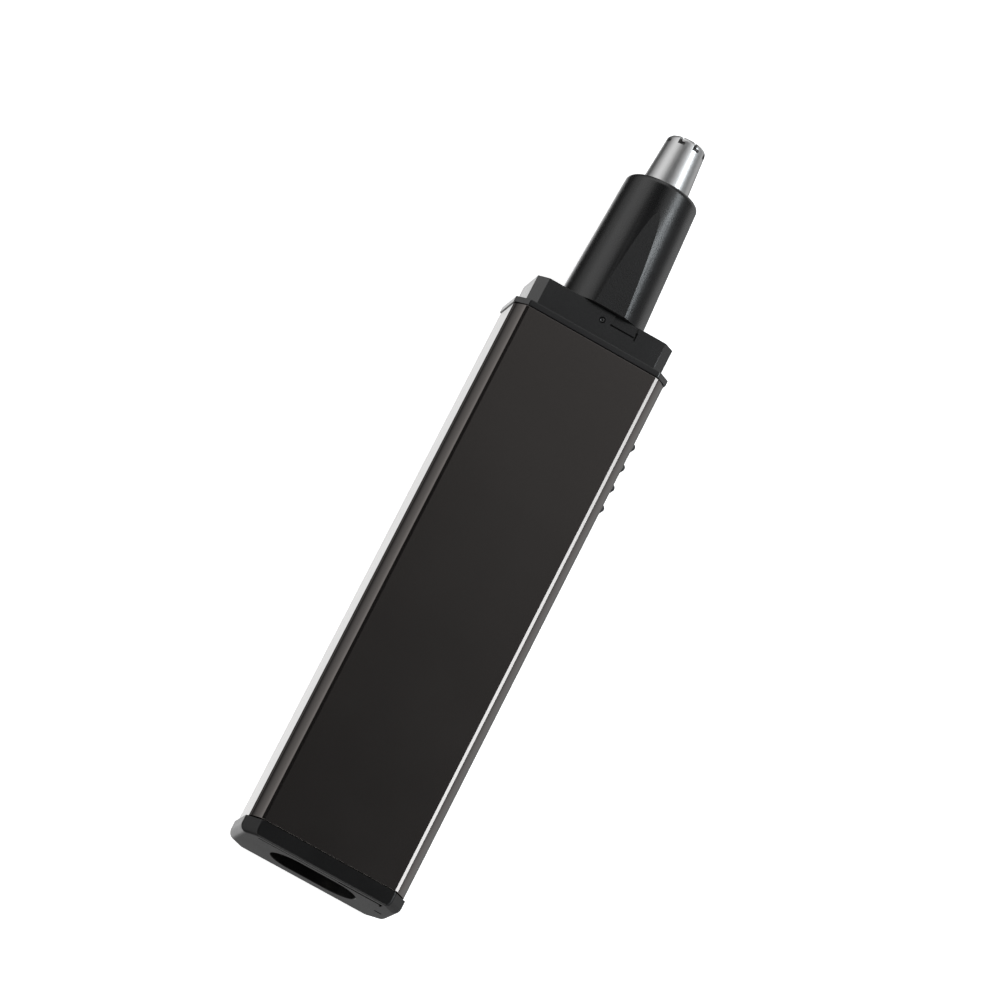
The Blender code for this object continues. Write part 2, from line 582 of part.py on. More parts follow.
def make_cutter(materials, lift):
    """Steel cup with slits over its rim, and the ring that keeps it in the collar."""
    wall = CUTTER_WALL
    shelf = LEDGE_START - GAP
    flange = 5.1
    outer = [(0.0, CUTTER_TOP), (CUTTER_TOP_RADIUS - 0.8, CUTTER_TOP),
             (CUTTER_TOP_RADIUS - 0.25, CUTTER_TOP - 0.25), (CUTTER_TOP_RADIUS, CUTTER_TOP - 0.8),
             (CUTTER_BASE_RADIUS, COLLAR_END), (CUTTER_BASE_RADIUS, shelf), (flange, shelf),
             (flange, shelf - 0.8)]
    inner = [(CUTTER_BASE_RADIUS - wall, shelf - 0.8), (CUTTER_BASE_RADIUS - wall, COLLAR_END),
             (CUTTER_TOP_RADIUS - wall, CUTTER_TOP - 2 * wall),
             (CUTTER_TOP_RADIUS - 2 * wall, CUTTER_TOP - wall), (0.0, CUTTER_TOP - wall)]
    cutter = turned("outer_cutter", outer + inner, FINE_STEPS, materials["steel"], lift)
    half = SLIT_WIDTH / 2
    bm = bmesh.new()
    for k in range(CUTTER_SLITS):
        turn = Matrix.Rotation(math.radians(FIRST_SLIT + 360 * k / CUTTER_SLITS), 4, "Y")
        centre = Matrix.Translation((3.4, CUTTER_TOP - SLIT_DEPTH / 2 + 0.5, 0))
        size = Matrix.Diagonal((3.6, SLIT_DEPTH + 1.0, 2 * half, 1.0))
        bmesh.ops.create_cube(bm, size=1.0, matrix=turn @ centre @ size)
    slits = add_mesh("cut_slits", bm, place(0, 0, AXIS_Z), parent=lift)
    combine(cutter, slits, "DIFFERENCE")
    turned("cutter_retainer", ring_profile(4.2, COLLAR_BORE - GAP, shelf - 2.3, shelf - 0.8 - GAP),
           ROUND_STEPS, materials["acetal"], lift)
    turned("head_retainer", ring_profile(1.9, COLLAR_BORE - GAP, *RETAINER_Y), ROUND_STEPS,
           materials["acetal"], lift)


def make_blade(materials, spin):
    """Blade shaft with its two dogs, the cross blade and the spring that presses it home."""
    dog_root = DOG_ROOT_Y + DOG_LENGTH + 0.6
    seat = BLADE_START - GAP
    profile = [(0.0, dog_root), (DOG_RADII[1], dog_root), (DOG_RADII[1], dog_root + 2.4),
               (SPINDLE_RADIUS, dog_root + 2.4), (SPINDLE_RADIUS, SPRING_TOP), (2.6, SPRING_TOP),
               (2.6, SPRING_TOP + 1.2), (SPINDLE_RADIUS, SPRING_TOP + 1.2), (SPINDLE_RADIUS, seat - 1.8),
               (2.6, seat - 1.8), (2.6, seat), (0.0, seat)]
    shaft = turned("blade_shaft", profile, ROUND_STEPS, materials["acetal"], spin)
    for middle in (90.0, 270.0):
        dog = prism(f"add_blade_dog_{middle:.0f}", sector(*DOG_RADII, middle, BLADE_DOG_SPAN),
                    dog_root - DOG_LENGTH, dog_root + 0.5, parent=spin)
        combine(shaft, dog, "UNION")
    wing = 2.8
    web = 0.45
    cross = [(web, -wing), (web, -web), (wing, -web), (wing, web), (web, web), (web, wing),
             (-web, wing), (-web, web), (-wing, web), (-wing, -web), (-web, -web), (-web, -wing)]
    prism("rotary_blade", cross, BLADE_START, CUTTER_TOP - CUTTER_WALL - GAP, materials["steel"], spin)
    make_spring(materials["spring"], spin)


def make_spring(material, spin):
    """Compression spring between the head retainer and the shaft's shoulder."""
    turns = 6
    wire = 0.28
    radius = SPINDLE_RADIUS + GAP + wire + 0.05
    start = RETAINER_Y[1] + GAP + wire
    rise = SPRING_TOP - GAP - wire - start
    steps = 14 * turns
    curve = bpy.data.curves.new("blade_spring", "CURVE")
    curve.dimensions = "3D"
    curve.bevel_depth = wire * MM
    curve.bevel_resolution = 1
    curve.use_fill_caps = True
    spline = curve.splines.new("POLY")
    spline.points.add(steps)
    for k, point in enumerate(spline.points):
        turn = 2 * math.pi * turns * k / steps
        x = radius * math.cos(turn)
        z = radius * math.sin(turn)
        point.co = (x * MM, (start + rise * k / steps) * MM, z * MM, 1.0)
    add_object("blade_spring", curve, place(0, 0, AXIS_Z), material, spin)


def make_materials():
    """Every material by its short name."""
    return {
        "sleeve": make_material("black_chrome", (0.045, 0.038, 0.035), 0.22, 1.0),
        "cap": make_material("cap_plastic", (0.05, 0.048, 0.048), 0.45),
        "housing": make_material("shoulder_plastic", (0.028, 0.028, 0.030), 0.4),
        "collar": make_material("soft_touch", (0.032, 0.032, 0.032), 0.55),
        "switch": make_material("switch_plastic", (0.03, 0.03, 0.03), 0.5),
        "steel": make_material("steel", (0.62, 0.62, 0.64), 0.25, 1.0),
        "pin": make_material("pin_metal", (0.75, 0.72, 0.62), 0.25, 1.0),
        "inlet": make_material("inlet_plastic", (0.02, 0.02, 0.02), 0.5),
        "chassis": make_material("chassis_plastic", (0.55, 0.56, 0.57), 0.5),
        "battery": make_material("battery_wrap", (0.05, 0.28, 0.14), 0.35),
        "nickel": make_material("nickel", (0.66, 0.64, 0.60), 0.3, 1.0),
        "board": make_material("board_laminate", (0.02, 0.16, 0.07), 0.4),
        "transformer": make_material("transformer_core", (0.10, 0.09, 0.08), 0.6),
        "chip": make_material("chip_plastic", (0.03, 0.03, 0.035), 0.45),
        "capacitor": make_material("capacitor_sleeve", (0.03, 0.05, 0.16), 0.35),
        "lever": make_material("lever_plastic", (0.8, 0.8, 0.78), 0.5),
        "can": make_material("motor_can_metal", (0.58, 0.58, 0.57), 0.3, 1.0),
        "bell": make_material("end_bell_plastic", (0.7, 0.7, 0.68), 0.5),
        "brass": make_material("sintered_brass", (0.60, 0.42, 0.18), 0.35, 1.0),
        "magnet": make_material("ferrite", (0.06, 0.06, 0.06), 0.6),
        "brush": make_material("carbon_brush", (0.04, 0.04, 0.04), 0.7),
        "winding": make_material("armature_winding", (0.45, 0.18, 0.06), 0.4, 0.6),
        "rubber": make_material("seal_rubber", (0.02, 0.02, 0.02), 0.8),
        "acetal": make_material("acetal", (0.82, 0.82, 0.80), 0.4),
        "spring": make_material("spring_steel", (0.55, 0.55, 0.55), 0.3, 1.0),
        "red_wire": make_material("red_insulation", (0.5, 0.03, 0.02), 0.5),
        "black_wire": make_material("black_insulation", (0.02, 0.02, 0.02), 0.5),
    }


def main():
    clear_scene()
    materials = make_materials()
    slide = add_empty("axis_switch", place(SWITCH_TIP_X, SWITCH_Y, AXIS_Z))
    rotor = add_empty("axis_rotor", place(0, MOTOR_START, AXIS_Z))
    twist = add_empty("axis_twist", place(0, COLLAR_START, AXIS_Z))
    lift = add_empty("axis_lift", place(0, COLLAR_START, AXIS_Z))
    blade = add_empty("axis_blade", place(0, COLLAR_START, AXIS_Z))
    make_sleeve(materials)
    make_end_cap(materials)
    make_inlet(materials)
    make_chassis(materials)
    make_battery(materials)
    make_board(materials)
    make_switch(materials, slide)
    make_motor_frame(materials)
    make_rotor(materials, rotor)
    make_housing(materials)
    make_lock_ring(materials, twist)
    make_collar(materials, lift)
    make_cutter(materials, lift)
    make_blade(materials, blade)


main()
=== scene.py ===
import json
import math

import bmesh
import bpy
from mathutils import Matrix, Vector


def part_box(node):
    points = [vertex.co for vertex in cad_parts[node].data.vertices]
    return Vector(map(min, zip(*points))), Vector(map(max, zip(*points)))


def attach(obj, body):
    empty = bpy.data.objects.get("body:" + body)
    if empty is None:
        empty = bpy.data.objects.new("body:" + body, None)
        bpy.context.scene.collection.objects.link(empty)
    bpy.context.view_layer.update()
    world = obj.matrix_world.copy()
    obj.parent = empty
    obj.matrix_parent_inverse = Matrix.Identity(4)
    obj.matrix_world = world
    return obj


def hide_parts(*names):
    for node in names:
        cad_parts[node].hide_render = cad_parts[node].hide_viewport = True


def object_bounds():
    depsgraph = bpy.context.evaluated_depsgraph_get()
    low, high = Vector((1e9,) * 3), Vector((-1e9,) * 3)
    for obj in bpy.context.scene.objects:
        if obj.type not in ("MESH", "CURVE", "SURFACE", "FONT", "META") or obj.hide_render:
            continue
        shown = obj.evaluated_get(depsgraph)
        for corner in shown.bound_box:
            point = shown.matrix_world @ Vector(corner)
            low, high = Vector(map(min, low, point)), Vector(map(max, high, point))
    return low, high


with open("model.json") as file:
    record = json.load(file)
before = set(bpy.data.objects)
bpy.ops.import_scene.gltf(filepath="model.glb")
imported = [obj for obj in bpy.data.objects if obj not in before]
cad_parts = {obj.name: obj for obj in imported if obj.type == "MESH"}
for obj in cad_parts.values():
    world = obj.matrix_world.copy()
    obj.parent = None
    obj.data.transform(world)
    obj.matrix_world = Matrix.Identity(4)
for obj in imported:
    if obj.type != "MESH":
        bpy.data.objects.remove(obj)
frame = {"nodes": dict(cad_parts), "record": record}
CAD_BOX = [list(corner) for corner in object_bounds()]

# Lengths are in millimetres unless a name says otherwise. Distances along the body, called y, are
# counted from the end cap's outer face, as in the CAD model.
MM = 0.001
CAP_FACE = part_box("end_cap")[0].y


def span(node):
    """Lowest and highest corner of a CAD node, in millimetres, with y from the cap's outer face."""
    low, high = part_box(node)
    shift = Vector((0, CAP_FACE, 0))
    return (low - shift) / MM, (high - shift) / MM


# Places taken from the frame
SLEEVE_LOW, SLEEVE_HIGH = span("sleeve")
CAP_HIGH = span("end_cap")[1]
HOUSING_LOW, HOUSING_HIGH = span("top_housing")
COLLAR_LOW, COLLAR_HIGH = span("head_collar")
CUTTER_LOW, CUTTER_HIGH = span("outer_cutter")
SLIDER_LOW, SLIDER_HIGH = span("switch_slider")
PIN_LOW, PIN_HIGH = span("inlet_pin_right")
AXIS_Z = (CUTTER_LOW.z + CUTTER_HIGH.z) / 2
DEPTH = SLEEVE_HIGH.z
HALF_WIDTH = SLEEVE_HIGH.x

# Body section: half width of the front flat, how far its chamfers drop, and the sleeve's wall
HALF_FLAT = 12.6
DROP = 2.7
WALL = 0.9

# Clearance between CAD pieces, and how far the cap stands past the sleeve's sides
GAP = 0.3
OVERHANG = 0.45

# Narrow bevel beside the sleeve's flats, the bulge of its chamfers and the radius of its sides
BEVEL_INSIDE = 0.15
BEVEL_OUTSIDE = 0.4
BEVEL_DROP = 0.2
CROWN = 0.12
CROWN_STEPS = 10
SIDE_RADIUS = 0.9

# Shoulder platform
PLATFORM_HALF_WIDTH = 13.3
PLATFORM_HALF_FLAT = 11.5
PLATFORM_BACK = 0.7
PLATFORM_FRONT = 14.4
PLATFORM_DROP = 1.8

# Fineness of turned and rounded shapes, and the angle above which an edge is sharp
TURN_STEPS = 160
ARC_STEPS = 6
SHARP_ANGLE = math.radians(30)


# ---------------------------------------------------------------- camera, lights and floor

def look_from(azimuth, elevation):
    """Unit vector from the object towards a viewer, in degrees; azimuth 0 looks along +Y."""
    a = math.radians(azimuth)
    e = math.radians(elevation)
    return Vector((math.sin(a) * math.cos(e), -math.cos(a) * math.cos(e), math.sin(e)))


def make_camera():
    """Long lens high over the front face, rolled so that the body leans to the right."""
    azimuth = -27.1
    elevation = 73.0
    roll = math.radians(55.3)
    distance = 1.0215
    aside = Vector((-1.0, 0.3, 0.0)) * MM
    low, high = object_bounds()
    target = (low + high) / 2 + aside
    back = look_from(azimuth, elevation)
    level = Vector((0, 0, 1)).cross(back).normalized()
    right = level * math.cos(roll) + back.cross(level) * math.sin(roll)
    up = back.cross(right)
    data = bpy.data.cameras.new("camera")
    data.lens = 216.2
    data.sensor_width = 36.0
    data.clip_start = 0.01
    camera = bpy.data.objects.new("camera", data)
    bpy.context.scene.collection.objects.link(camera)
    turn = Matrix((right, up, back)).transposed().to_4x4()
    camera.matrix_world = Matrix.Translation(target + back * distance) @ turn
    bpy.context.scene.camera = camera


def add_softbox(name, side, elevation, distance, size, strength, colour=(1, 1, 1)):
    """Rectangular light aimed at the middle of the body; side is its azimuth in degrees.

    distance and size are in metres, and strength is in watts.
    """
    low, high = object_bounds()
    target = (low + high) / 2
    data = bpy.data.lights.new(name, "AREA")
    data.shape = "RECTANGLE"
    data.size, data.size_y = size
    data.energy = strength
    data.color = colour
    light = bpy.data.objects.new(name, data)
    bpy.context.scene.collection.objects.link(light)
    towards = look_from(side, elevation)
    light.location = target + towards * distance
    light.rotation_euler = towards.to_track_quat("Z", "Y").to_euler()


def ramp(tree, source, stops):
    """Colour ramp over a value from -1 to 1, from (value, brightness) stops."""
    scale = tree.nodes.new("ShaderNodeMapRange")
    scale.inputs["From Min"].default_value = -1.0
    tree.links.new(source, scale.inputs["Value"])
    node = tree.nodes.new("ShaderNodeValToRGB")
    elements = node.color_ramp.elements
    while len(elements) < len(stops):
        elements.new(0.5)
    for element, (value, brightness) in zip(elements, stops):
        element.position = (value + 1) / 2
        element.color = (brightness, brightness, brightness, 1)
    tree.links.new(scale.outputs["Result"], node.inputs["Fac"])
    return node.outputs["Color"]


def make_world():
    """Studio surround: dark overhead, a broad bright wall on the left and a dimmer one on the right.

    The stops are (height of a direction from -1 to 1, brightness), and the two sides blend across
    a narrow band.
    """
    left = [(-1.0, 1.6), (-0.9, 1.5), (-0.8, 0.04), (-0.47, 0.04), (-0.34, 0.45), (-0.2, 0.75),
            (0.0, 0.95), (0.15, 1.8), (0.3, 1.7), (0.6, 1.6), (0.75, 0.03), (0.9, 0.03), (1.0, 0.12)]
    right = [(-1.0, 0.3), (-0.8, 0.35), (-0.5, 0.9), (-0.22, 1.0), (-0.12, 0.35), (0.2, 0.25),
             (0.6, 0.25), (0.88, 0.12), (0.92, 0.62), (0.945, 0.42), (0.965, 0.08), (1.0, 0.05)]
    world = bpy.data.worlds.new("studio")
    bpy.context.scene.world = world
    world.use_nodes = True
    tree = world.node_tree
    coordinate = tree.nodes.new("ShaderNodeTexCoord")
    split = tree.nodes.new("ShaderNodeSeparateXYZ")
    tree.links.new(coordinate.outputs["Generated"], split.inputs["Vector"])
    blend = 0.1
    side = tree.nodes.new("ShaderNodeMapRange")
    side.inputs["From Min"].default_value = -blend
    side.inputs["From Max"].default_value = blend
    tree.links.new(split.outputs["X"], side.inputs["Value"])
    mix = tree.nodes.new("ShaderNodeMix")
    mix.data_type = "RGBA"
    tree.links.new(side.outputs["Result"], mix.inputs["Factor"])
    tree.links.new(ramp(tree, split.outputs["Z"], left), mix.inputs["A"])
    tree.links.new(ramp(tree, split.outputs["Z"], right), mix.inputs["B"])
    tree.links.new(mix.outputs["Result"], tree.nodes["Background"].inputs["Color"])


def make_lights():
    """A bright strip high on the right, a soft box beyond the cutter, a low strip by the cap."""
    make_world()
    add_softbox("strip_right", 111, 43, 0.8, (0.6, 0.16), 3.6, (0.9, 0.96, 1.0))
    add_softbox("box_top", 151, 43, 0.9, (0.6, 0.62), 1.35)
    add_softbox("strip_low", 6, 15, 0.8, (0.6, 0.12), 0.9)


def make_floor():
    """Plain pale floor that the trimmer lies on; glossy rays pass through it to the surround."""
    below = 0.2
    half_size = 4.0
    bm = bmesh.new()
    bmesh.ops.create_grid(bm, x_segments=1, y_segments=1, size=half_size)
    mesh = bpy.data.meshes.new("floor")
    bm.to_mesh(mesh)
    bm.free()
    floor = bpy.data.objects.new("floor", mesh)
    bpy.context.scene.collection.objects.link(floor)
    floor.location.z = CAD_BOX[0][2] - below * MM
    material, shader = new_material("floor_paper")
    nodes = material.node_tree.nodes
    links = material.node_tree.links
    coordinate = nodes.new("ShaderNodeTexCoord")
    grain = nodes.new("ShaderNodeTexNoise")
    grain.inputs["Scale"].default_value = 40.0
    tone = nodes.new("ShaderNodeMapRange")
    tone.inputs["To Min"].default_value = 0.93
    tone.inputs["To Max"].default_value = 0.95
    shade = nodes.new("ShaderNodeCombineColor")
    links.new(coordinate.outputs["Object"], grain.inputs["Vector"])
    links.new(grain.outputs["Fac"], tone.inputs["Value"])
    for channel in ("Red", "Green", "Blue"):
        links.new(tone.outputs["Result"], shade.inputs[channel])
    links.new(shade.outputs["Color"], shader.inputs["Base Color"])
    shader.inputs["Roughness"].default_value = 0.9
    shader.inputs["Emission Color"].default_value = (1, 1, 1, 1)
    shader.inputs["Emission Strength"].default_value = 0.72
    mesh.materials.append(material)
    floor.visible_glossy = False


# ---------------------------------------------------------------- materials

def new_material(name):
    """A material and its Principled shader."""
    material = bpy.data.materials.new(name)
    material.use_nodes = True
    return material, material.node_tree.nodes["Principled BSDF"]


def surface(name, dark, light, roughness, metallic=0.0, patch=4.0, grain=0.2, bump=0.02,
            stretch=(1, 1, 1), coat=0.0, specular=0.5):
    """Procedural finish: two tones in soft patches, varying roughness and a fine surface grain.

    patch and grain are feature sizes in millimetres, bump is the grain's height in millimetres and
    stretch draws the grain out along an axis, for brushing or turning marks.
    """
    material, shader = new_material(name)
    nodes = material.node_tree.nodes
    links = material.node_tree.links
    coordinate = nodes.new("ShaderNodeTexCoord")
    broad = nodes.new("ShaderNodeTexNoise")
    broad.inputs["Scale"].default_value = 1 / (patch * MM)
    broad.inputs["Detail"].default_value = 3.0
    links.new(coordinate.outputs["Object"], broad.inputs["Vector"])
    mapping = nodes.new("ShaderNodeMapping")
    mapping.inputs["Scale"].default_value = stretch
    links.new(coordinate.outputs["Object"], mapping.inputs["Vector"])
    fine = nodes.new("ShaderNodeTexNoise")
    fine.inputs["Scale"].default_value = 1 / (grain * MM)
    fine.inputs["Detail"].default_value = 2.0
    links.new(mapping.outputs["Vector"], fine.inputs["Vector"])
    both = nodes.new("ShaderNodeMath")
    both.operation = "MULTIPLY_ADD"
    both.inputs[1].default_value = 0.5
    links.new(fine.outputs["Fac"], both.inputs[0])
    half = nodes.new("ShaderNodeMath")
    half.operation = "MULTIPLY"
    half.inputs[1].default_value = 0.5
    links.new(broad.outputs["Fac"], half.inputs[0])
    links.new(half.outputs["Value"], both.inputs[2])
    tone = nodes.new("ShaderNodeMix")
    tone.data_type = "RGBA"
    tone.inputs["A"].default_value = (*dark, 1)
    tone.inputs["B"].default_value = (*light, 1)
    links.new(both.outputs["Value"], tone.inputs["Factor"])
    links.new(tone.outputs["Result"], shader.inputs["Base Color"])
    gloss = nodes.new("ShaderNodeMapRange")
    gloss.inputs["From Min"].default_value = 0.3
    gloss.inputs["From Max"].default_value = 0.7
    gloss.inputs["To Min"].default_value = roughness[0]
    gloss.inputs["To Max"].default_value = roughness[1]
    links.new(both.outputs["Value"], gloss.inputs["Value"])
    links.new(gloss.outputs["Result"], shader.inputs["Roughness"])
    relief = nodes.new("ShaderNodeBump")
    relief.inputs["Strength"].default_value = 1.0
    relief.inputs["Distance"].default_value = bump * MM
    links.new(fine.outputs["Fac"], relief.inputs["Height"])
    links.new(relief.outputs["Normal"], shader.inputs["Normal"])
    shader.inputs["Metallic"].default_value = metallic
    shader.inputs["Specular IOR Level"].default_value = specular
    shader.inputs["Coat Weight"].default_value = coat
    shader.inputs["Coat Roughness"].default_value = 0.15
    return material


def grey(value):
    """Neutral colour."""
    return (value, value, value)


def moulded(name, value, roughness=(0.42, 0.52), tint=(1.0, 1.0, 1.02), specular=0.5, bump=0.006):
    """Moulded plastic with a fine spark-eroded grain."""
    dark = tuple(value * 0.88 * t for t in tint)
    light = tuple(value * 1.12 * t for t in tint)
    return surface(name, dark, light, roughness, patch=6.0, grain=0.16, bump=bump,
                   specular=specular)


def make_finishes():
    """One finish for each of the record's material slots."""
    turning = (1.0, 30.0, 1.0)
    brushing = (30.0, 1.0, 30.0)
    return {
        "sleeve_metal": surface("sleeve_metal", (0.094, 0.087, 0.083), (0.106, 0.098, 0.094),
                                (0.17, 0.21), metallic=1.0, patch=18.0, grain=0.12, bump=0.0004),
        "cap_plastic": moulded("cap_plastic", 0.004, (0.28, 0.36), specular=0.25, bump=0.012),
        "housing_plastic": moulded("housing_plastic", 0.006, (0.2, 0.28), (0.98, 1.0, 1.06),
                                   specular=0.54),
        "collar_soft_touch": surface("collar_soft_touch", (0.003, 0.003, 0.0032),
                                     (0.005, 0.005, 0.0053), (0.25, 0.32), patch=5.0, grain=0.2,
                                     bump=0.014, specular=0.42),
        "switch_plastic": moulded("switch_plastic", 0.020, (0.40, 0.48)),
        "cutter_steel": surface("cutter_steel", grey(0.38), grey(0.45), (0.33, 0.41), metallic=1.0,
                                patch=0.5, grain=0.9, bump=0.003, stretch=turning),
        "shaft_steel": surface("shaft_steel", grey(0.50), grey(0.58), (0.2, 0.3), metallic=1.0,
                               grain=1.0, bump=0.001, stretch=turning),
        "pin_metal": surface("pin_metal", (0.72, 0.69, 0.60), (0.80, 0.77, 0.68), (0.18, 0.28),
                             metallic=1.0, grain=1.0, bump=0.001, stretch=turning),
        "inlet_plastic": moulded("inlet_plastic", 0.010),
        "chassis_plastic": moulded("chassis_plastic", 0.50),
        "battery_wrap": surface("battery_wrap", (0.02, 0.22, 0.11), (0.03, 0.28, 0.15),
                                (0.22, 0.34), patch=10.0, grain=1.5, bump=0.01, coat=0.3),
        "nickel": surface("nickel", (0.60, 0.58, 0.54), (0.68, 0.66, 0.62), (0.25, 0.38),
                          metallic=1.0, grain=0.8, bump=0.002, stretch=brushing),
        "board_laminate": surface("board_laminate", (0.01, 0.12, 0.05), (0.015, 0.17, 0.07),
                                  (0.3, 0.4), patch=2.0, grain=0.35, bump=0.01, coat=0.2),
        "transformer_core": surface("transformer_core", (0.07, 0.06, 0.05), (0.10, 0.09, 0.075),
                                    (0.5, 0.65), grain=0.3, bump=0.02),
        "chip_plastic": moulded("chip_plastic", 0.025),
        "capacitor_sleeve": surface("capacitor_sleeve", (0.015, 0.03, 0.12), (0.02, 0.04, 0.16),
                                    (0.25, 0.35), grain=0.8, bump=0.004),
        "lever_plastic": moulded("lever_plastic", 0.75),
        "can_metal": surface("can_metal", grey(0.52), grey(0.60), (0.22, 0.34), metallic=1.0,
                             grain=0.8, bump=0.002, stretch=brushing),
        "bell_plastic": moulded("bell_plastic", 0.65),
        "sintered_brass": surface("sintered_brass", (0.50, 0.34, 0.15), (0.60, 0.42, 0.20),
                                  (0.35, 0.5), metallic=1.0, grain=0.15, bump=0.008),
        "ferrite": surface("ferrite", grey(0.045), grey(0.06), (0.55, 0.7), grain=0.12, bump=0.01),
        "carbon": surface("carbon", grey(0.025), grey(0.035), (0.6, 0.75), grain=0.1, bump=0.008),
        "winding": surface("winding", (0.35, 0.12, 0.05), (0.50, 0.20, 0.08), (0.25, 0.4),
                           metallic=0.7, grain=0.9, bump=0.03, stretch=(8.0, 1.0, 8.0)),
        "seal_rubber": surface("seal_rubber", grey(0.012), grey(0.018), (0.7, 0.85), grain=0.2,
                               bump=0.01),
        "acetal": moulded("acetal", 0.72),
        "spring_steel": surface("spring_steel", grey(0.45), grey(0.55), (0.25, 0.35), metallic=1.0,
                                grain=0.5, bump=0.002),
        "red_insulation": surface("red_insulation", (0.42, 0.02, 0.015), (0.50, 0.03, 0.02),
                                  (0.35, 0.45), grain=0.4, bump=0.004),
        "black_insulation": surface("black_insulation", grey(0.012), grey(0.018), (0.35, 0.45),
                                    grain=0.4, bump=0.004),
    }


# ---------------------------------------------------------------- mesh helpers

def to_frame(bm):
    """Turn a bmesh from the body's own millimetres into metres in the frame."""
    for vert in bm.verts:
        vert.co = vert.co * MM + Vector((0, CAP_FACE, 0))


def add_mesh(name, bm):
    """Object from a bmesh in the body's own millimetres, shaded smooth between sharp edges."""
    bmesh.ops.recalc_face_normals(bm, faces=bm.faces)
    to_frame(bm)
    mesh = bpy.data.meshes.new(name)
    bm.to_mesh(mesh)
    bm.free()
    mesh.shade_smooth()
    mesh.set_sharp_from_angle(angle=SHARP_ANGLE)
    obj = bpy.data.objects.new(name, mesh)
    bpy.context.scene.collection.objects.link(obj)
    return obj


def combine(obj, tool, operation="DIFFERENCE"):
    """Boolean a piece with a tool, which is then removed."""
    modifier = obj.modifiers.new("shape", "BOOLEAN")
    modifier.operation = operation
    modifier.solver = "EXACT"
    modifier.object = tool
    bake_modifiers(obj)
    obj.data.set_sharp_from_angle(angle=SHARP_ANGLE)
    bpy.data.objects.remove(tool, do_unlink=True)


def bake_modifiers(obj):
    """Replace a piece's mesh with its evaluated shape."""
    bpy.context.view_layer.update()
    evaluated = obj.evaluated_get(bpy.context.evaluated_depsgraph_get())
    mesh = bpy.data.meshes.new_from_object(evaluated)
    mesh.name = obj.name
    obj.modifiers.clear()
    obj.data = mesh


def steady_flats(obj):
    """Weight normals by face area, so that large flats reflect as true planes."""
    modifier = obj.modifiers.new("flats", "WEIGHTED_NORMAL")
    modifier.mode = "FACE_AREA"
    modifier.weight = 80
    modifier.keep_sharp = True


def finish_piece(obj, body, slot, *nodes):
    """Give a piece its material slot's finish and its place on a CAD body."""
    obj.data.materials.clear()
    obj.data.materials.append(FINISHES[slot])
    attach(obj, body)
    if nodes:
        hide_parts(*nodes)
    return obj


def shrink(outline, distance):
    """Outline of the body drawn in so that its four flats move by the same distance."""
    wide = 1 - distance / HALF_WIDTH
    deep = 1 - 2 * distance / DEPTH
    return [(x * wide, distance + z * deep) for x, z in outline]


def octagon(half_width, half_flat, low, high, drop):
    """Corners (x, z) of a rectangle with cut corners, anticlockwise from the lower right."""
    right = [(half_flat, low), (half_width, low + drop), (half_width, high - drop),
             (half_flat, high)]
    return right + [(-x, z) for x, z in reversed(right)]


def sleeve_section():
    """Sleeve outline: narrow bevels beside the flats, crowned chamfers and rounded sides."""
    soft = 0.06
    corner = Vector((HALF_FLAT + BEVEL_OUTSIDE, DEPTH - BEVEL_DROP))
    slant = Vector((HALF_WIDTH, DEPTH - DROP)) - corner
    outward = Vector((-slant.y, slant.x)).normalized()
    last = 1 - 0.45 * SIDE_RADIUS / slant.length
    front = [(Vector((HALF_FLAT - BEVEL_INSIDE, DEPTH)), soft)]
    for k in range(CROWN_STEPS + 1):
        share = last * k / CROWN_STEPS
        lift = 4 * CROWN * (k / CROWN_STEPS) * (1 - k / CROWN_STEPS)
        front.append((corner + slant * share + outward * lift, soft))
    front.append((corner + slant, SIDE_RADIUS))
    right = [(Vector((p.x, DEPTH - p.y)), radius) for p, radius in front] + front[::-1]
    both = right + [(Vector((-p.x, p.y)), radius) for p, radius in reversed(right)]
    return rounded([p for p, radius in both], [radius for p, radius in both])


def rounded(corners, radii, steps=ARC_STEPS):
    """Outline with the corners of a polygon turned into arcs; nearly straight ones stay.

    radii is one radius for all the corners or a list with one for each.
    """
    straight = math.radians(86)
    if not isinstance(radii, list):
        radii = [radii] * len(corners)
    outline = []
    for i, (corner, radius) in enumerate(zip(corners, radii)):
        here = Vector(corner)
        before = (Vector(corners[i - 1]) - here).normalized()
        after = (Vector(corners[(i + 1) % len(corners)]) - here).normalized()
        half = before.angle(after) / 2
        if half > straight:
            outline.append((here.x, here.y))
            continue
        centre = here + (before + after).normalized() * (radius / math.sin(half))
        reach = radius / math.tan(half)
        start = here + before * reach - centre
        end = here + after * reach - centre
        first = math.atan2(start.y, start.x)
        turn = math.atan2(end.y, end.x) - first
        turn = (turn + math.pi) % (2 * math.pi) - math.pi
        for k in range(steps + 1):
            angle = first + turn * k / steps
            outline.append((centre.x + radius * math.cos(angle),
                            centre.y + radius * math.sin(angle)))
    return outline


def skin(bm, sections, closed=False):
    """Faces through sections [(y, outline), ...]; closed joins the last to the first as a tube."""
    rings = [[bm.verts.new((x, y, z)) for x, z in outline] for y, outline in sections]
    following = rings[1:] + rings[:1] if closed else rings[1:]
    for ring, after in zip(rings, following):
        for i in range(len(ring)):
            j = (i + 1) % len(ring)
            bm.faces.new((ring[i], ring[j], after[j], after[i]))
    if not closed:
        bm.faces.new(rings[0])
        bm.faces.new(reversed(rings[-1]))
    return bm


